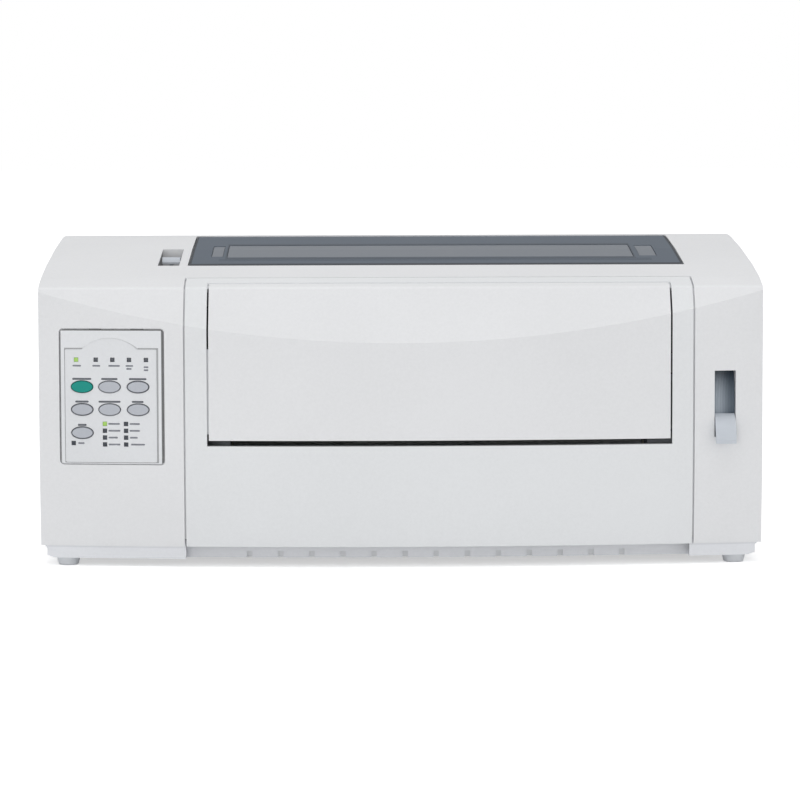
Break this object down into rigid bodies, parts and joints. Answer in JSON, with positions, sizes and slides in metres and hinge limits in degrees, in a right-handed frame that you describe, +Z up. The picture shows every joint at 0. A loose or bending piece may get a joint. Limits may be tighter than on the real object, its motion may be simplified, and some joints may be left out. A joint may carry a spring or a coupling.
{
  "type": "dot matrix printer",
  "caption": "Wide-carriage dot matrix printer with bowed front, lift-up flap over push tractors, smoked ribbon cover, key panel and full print mechanism.",
  "frame": {"origin": "middle of the footprint's box, on the surface it stands on", "axes": "+X to the right seen from the front, along the carriage; +Y to the back; +Z up; the bowed front faces -Y"},
  "size_m": [0.59, 0.33, 0.2629],
  "materials": {
    "white_plastic": "fine textured",
    "pale_plastic": "fine textured",
    "grey_plastic": "satin",
    "slate_plastic": "smoked, satin",
    "smoked_clear": "smoked, satin",
    "dark_plastic": "fine textured",
    "natural_plastic": "satin",
    "teal_plastic": "satin",
    "light_plastic": "clear",
    "rubber": "matt",
    "foot_rubber": "matt",
    "zinc_steel": "zinc plated",
    "ground_steel": "ground",
    "motor_case": "black",
    "head_metal": "cast",
    "brass": "machined",
    "board": "lacquered"
  },
  "bodies": {
    "casing": {"base_pan": "pale_plastic", "top_housing": "white_plastic", "front_cover": "pale_plastic", "rubber_feet": "foot_rubber", "left_side_frame": "zinc_steel", "right_side_frame": "zinc_steel", "carriage_rail": "ground_steel", "guide_bar": "zinc_steel", "paper_chute": "grey_plastic", "tractor_rail": "ground_steel", "carriage_motor": "motor_case", "drive_belt": "rubber", "paper_motor": "motor_case", "power_supply": "zinc_steel", "main_board": "board", "power_inlet": "dark_plastic", "interface_ports": "dark_plastic", "panel_bezel": "pale_plastic", "panel_overlay": "white_plastic", "panel_lights": "light_plastic", "panel_board": "board", "case_screws": "zinc_steel", "tear_bar": "zinc_steel", "platen_bushes": "natural_plastic", "cross_beam": "zinc_steel"},
    "lid": {"ribbon_cover": "slate_plastic", "ribbon_cover_window": "smoked_clear"},
    "flap": {"front_flap": "white_plastic"},
    "select_lever": {"select_lever": "grey_plastic"},
    "thickness_lever": {"thickness_lever": "grey_plastic"},
    "power_rocker": {"power_rocker": "dark_plastic"},
    "key_start": {"key_start": "teal_plastic"},
    "key_load": {"key_load": "grey_plastic"},
    "key_eject": {"key_eject": "grey_plastic"},
    "key_tear": {"key_tear": "grey_plastic"},
    "key_line": {"key_line": "grey_plastic"},
    "key_tractor": {"key_tractor": "grey_plastic"},
    "key_setup": {"key_setup": "grey_plastic"},
    "platen": {"platen_roller": "rubber", "platen_shaft": "ground_steel", "platen_gear": "natural_plastic", "platen_knob": "pale_plastic"},
    "pinion": {"motor_pinion": "brass"},
    "transfer_gear": {"transfer_gear": "natural_plastic"},
    "tractor_drive": {"tractor_gear": "natural_plastic", "tractor_shaft": "ground_steel"},
    "tractor_left": {"tractor_left": "grey_plastic"},
    "tractor_right": {"tractor_right": "grey_plastic"},
    "door_left": {"tractor_door_left": "grey_plastic"},
    "door_right": {"tractor_door_right": "grey_plastic"},
    "sprocket_left": {"sprocket_left": "natural_plastic"},
    "sprocket_right": {"sprocket_right": "natural_plastic"},
    "carriage": {"carriage": "dark_plastic", "printhead": "head_metal", "ribbon_cartridge": "dark_plastic"},
    "ribbon_knob": {"ribbon_knob": "slate_plastic"},
    "drive_pulley": {"drive_pulley": "natural_plastic"},
    "idler_pulley": {"idler_pulley": "natural_plastic"}
  },
  "joints": [
    {"name": "lid_hinge", "type": "hinge", "parent": "casing", "child": "lid", "pos_m": [0.0305, 0.093, 0.25256], "axis": [-1, 0, 0], "range_deg": [0, 75]},
    {"name": "flap_hinge", "type": "hinge", "parent": "casing", "child": "flap", "pos_m": [0.03125, -0.1305, 0.22655], "axis": [-1, 0, 0], "range_deg": [0, 92]},
    {"name": "select_lever_pivot", "type": "hinge", "parent": "casing", "child": "select_lever", "pos_m": [0.2638, -0.103, 0.1316], "axis": [-1, 0, 0], "range_deg": [0, 46]},
    {"name": "thickness_lever_pivot", "type": "hinge", "parent": "casing", "child": "thickness_lever", "pos_m": [-0.193, -0.0155, 0.21871], "axis": [-1, 0, 0], "range_deg": [0, 28]},
    {"name": "power_rocker_pivot", "type": "hinge", "parent": "casing", "child": "power_rocker", "pos_m": [-0.206, 0.1586, 0.046], "axis": [1, 0, 0], "range_deg": [-8, 8]},
    {"name": "key_start_press", "type": "slide", "parent": "casing", "child": "key_start", "axis": [0, 1, 0], "range_m": [0, 0.0012], "stiffness_N_per_m": 250, "springref_m": -0.0002},
    {"name": "key_load_press", "type": "slide", "parent": "casing", "child": "key_load", "axis": [0, 1, 0], "range_m": [0, 0.0012], "stiffness_N_per_m": 250, "springref_m": -0.0002},
    {"name": "key_eject_press", "type": "slide", "parent": "casing", "child": "key_eject", "axis": [0, 1, 0], "range_m": [0, 0.0012], "stiffness_N_per_m": 250, "springref_m": -0.0002},
    {"name": "key_tear_press", "type": "slide", "parent": "casing", "child": "key_tear", "axis": [0, 1, 0], "range_m": [0, 0.0012], "stiffness_N_per_m": 250, "springref_m": -0.0002},
    {"name": "key_line_press", "type": "slide", "parent": "casing", "child": "key_line", "axis": [0, 1, 0], "range_m": [0, 0.0012], "stiffness_N_per_m": 250, "springref_m": -0.0002},
    {"name": "key_tractor_press", "type": "slide", "parent": "casing", "child": "key_tractor", "axis": [0, 1, 0], "range_m": [0, 0.0012], "stiffness_N_per_m": 250, "springref_m": -0.0002},
    {"name": "key_setup_press", "type": "slide", "parent": "casing", "child": "key_setup", "axis": [0, 1, 0], "range_m": [0, 0.0012], "stiffness_N_per_m": 250, "springref_m": -0.0002},
    {"name": "platen_turn", "type": "hinge", "parent": "casing", "child": "platen", "pos_m": [0.03, 0.013, 0.178], "axis": [1, 0, 0], "continuous": true},
    {"name": "transfer_turn", "type": "hinge", "parent": "casing", "child": "transfer_gear", "pos_m": [0.249, -0.05143, 0.14471], "axis": [1, 0, 0], "continuous": true},
    {"name": "tractor_turn", "type": "hinge", "parent": "casing", "child": "tractor_drive", "pos_m": [0.03, -0.091, 0.09], "axis": [1, 0, 0], "continuous": true},
    {"name": "pinion_turn", "type": "hinge", "parent": "casing", "child": "pinion", "pos_m": [0.249, -0.02794, 0.10054], "axis": [1, 0, 0], "continuous": true},
    {"name": "tractor_left_slide", "type": "slide", "parent": "casing", "child": "tractor_left", "axis": [1, 0, 0], "range_m": [-0.018, 0.1]},
    {"name": "tractor_right_slide", "type": "slide", "parent": "casing", "child": "tractor_right", "axis": [1, 0, 0], "range_m": [-0.2, 0.0135]},
    {"name": "sprocket_left_turn", "type": "hinge", "parent": "tractor_left", "child": "sprocket_left", "pos_m": [-0.15, -0.091, 0.09], "axis": [1, 0, 0], "continuous": true},
    {"name": "sprocket_right_turn", "type": "hinge", "parent": "tractor_right", "child": "sprocket_right", "pos_m": [0.212, -0.091, 0.09], "axis": [1, 0, 0], "continuous": true},
    {"name": "door_left_hinge", "type": "hinge", "parent": "tractor_left", "child": "door_left", "pos_m": [-0.159, -0.093, 0.1098], "axis": [0, -1, 0], "range_deg": [0, 100]},
    {"name": "door_right_hinge", "type": "hinge", "parent": "tractor_right", "child": "door_right", "pos_m": [0.221, -0.093, 0.1098], "axis": [0, 1, 0], "range_deg": [0, 100]},
    {"name": "carriage_slide", "type": "slide", "parent": "casing", "child": "carriage", "axis": [1, 0, 0], "range_m": [0, 0.342]},
    {"name": "ribbon_knob_turn", "type": "hinge", "parent": "carriage", "child": "ribbon_knob", "pos_m": [-0.12, -0.059, 0.209], "axis": [0, 0, 1], "continuous": true},
    {"name": "drive_pulley_turn", "type": "hinge", "parent": "casing", "child": "drive_pulley", "pos_m": [-0.204, -0.064, 0.16], "axis": [0, 1, 0], "range_deg": [-10, 2300]},
    {"name": "idler_pulley_turn", "type": "hinge", "parent": "casing", "child": "idler_pulley", "pos_m": [0.232, -0.064, 0.16], "axis": [0, 1, 0], "range_deg": [-10, 2300]}
  ],
  "couplings": [
    {"joint": "transfer_turn", "follows": "platen_turn", "ratio": -0.70588},
    {"joint": "tractor_turn", "follows": "platen_turn", "ratio": 1.2},
    {"joint": "pinion_turn", "follows": "platen_turn", "ratio": 4},
    {"joint": "sprocket_left_turn", "follows": "platen_turn", "ratio": 1.2},
    {"joint": "sprocket_right_turn", "follows": "platen_turn", "ratio": 1.2},
    {"joint": "drive_pulley_turn", "follows": "carriage_slide", "rad_per_m": 116.28},
    {"joint": "idler_pulley_turn", "follows": "carriage_slide", "rad_per_m": 116.28}
  ]
}
